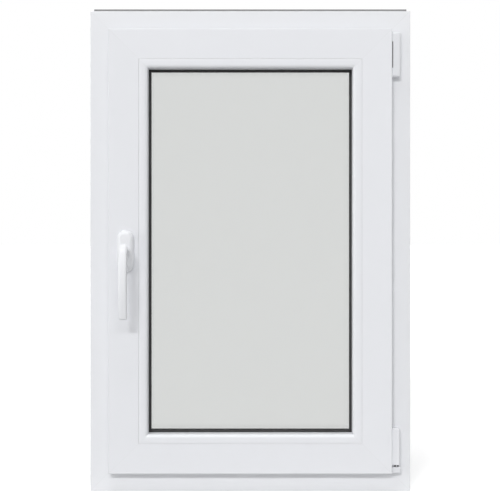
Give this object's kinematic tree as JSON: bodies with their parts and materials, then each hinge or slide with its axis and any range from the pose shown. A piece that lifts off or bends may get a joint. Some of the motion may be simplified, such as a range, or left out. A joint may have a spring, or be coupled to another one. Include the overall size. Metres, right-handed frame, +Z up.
{
  "type": "basement window",
  "caption": "White plastic tilt and turn basement window: fixed outer frame, one glazed sash lapping over it, lever handle on the left and covered hinges on the right.",
  "frame": {"origin": "middle of the frame's underside, at half the frame's depth", "axes": "+Z up the window, +X to the right seen from the room, -Y towards the room"},
  "size_m": [0.6, 0.14, 0.9035],
  "materials": {
    "white_plastic": "semi-gloss white window plastic, faint extrusion texture",
    "bead_plastic": "semi-gloss white window plastic",
    "black_seal": "matte black sealing rubber",
    "clear_glass": "clear sealed double glass",
    "spacer_metal": "dark anodised spacer",
    "handle_white": "white powder coat",
    "hinge_cover_white": "white clip-on cover",
    "hinge_metal": "dark zinc-plated steel",
    "strip_grey": "grey sealing strip",
    "cap_white": "white moulded cap"
  },
  "bodies": {
    "root": {"frame_head": "white_plastic", "frame_sill": "white_plastic", "frame_jamb_left": "white_plastic", "frame_jamb_right": "white_plastic", "frame_seal": "black_seal", "head_strip": "strip_grey", "drain_cap_left": "cap_white", "drain_cap_right": "cap_white", "sash_top_rail": "white_plastic", "sash_bottom_rail": "white_plastic", "sash_lock_stile": "white_plastic", "sash_hinge_stile": "white_plastic", "sash_seal": "black_seal", "glazing_bead_top": "bead_plastic", "glazing_bead_bottom": "bead_plastic", "glazing_bead_left": "bead_plastic", "glazing_bead_right": "bead_plastic", "glass_pane_inside": "clear_glass", "glass_pane_outside": "clear_glass", "glass_seal_inside": "black_seal", "glass_seal_outside": "black_seal", "glass_spacer": "spacer_metal", "handle_rosette": "handle_white", "handle_collar": "handle_white", "handle_lever": "handle_white", "top_hinge_cover": "hinge_cover_white", "top_hinge_bearing": "hinge_metal", "top_hinge_pin": "hinge_metal", "top_hinge_strap": "hinge_metal", "bottom_hinge_upper_cover": "hinge_cover_white", "bottom_hinge_lower_cover": "hinge_cover_white", "bottom_hinge_bearing": "hinge_metal", "bottom_hinge_strap": "hinge_metal", "bottom_hinge_pin": "hinge_metal", "bottom_hinge_screw": "hinge_metal"}
  },
  "joints": []
}
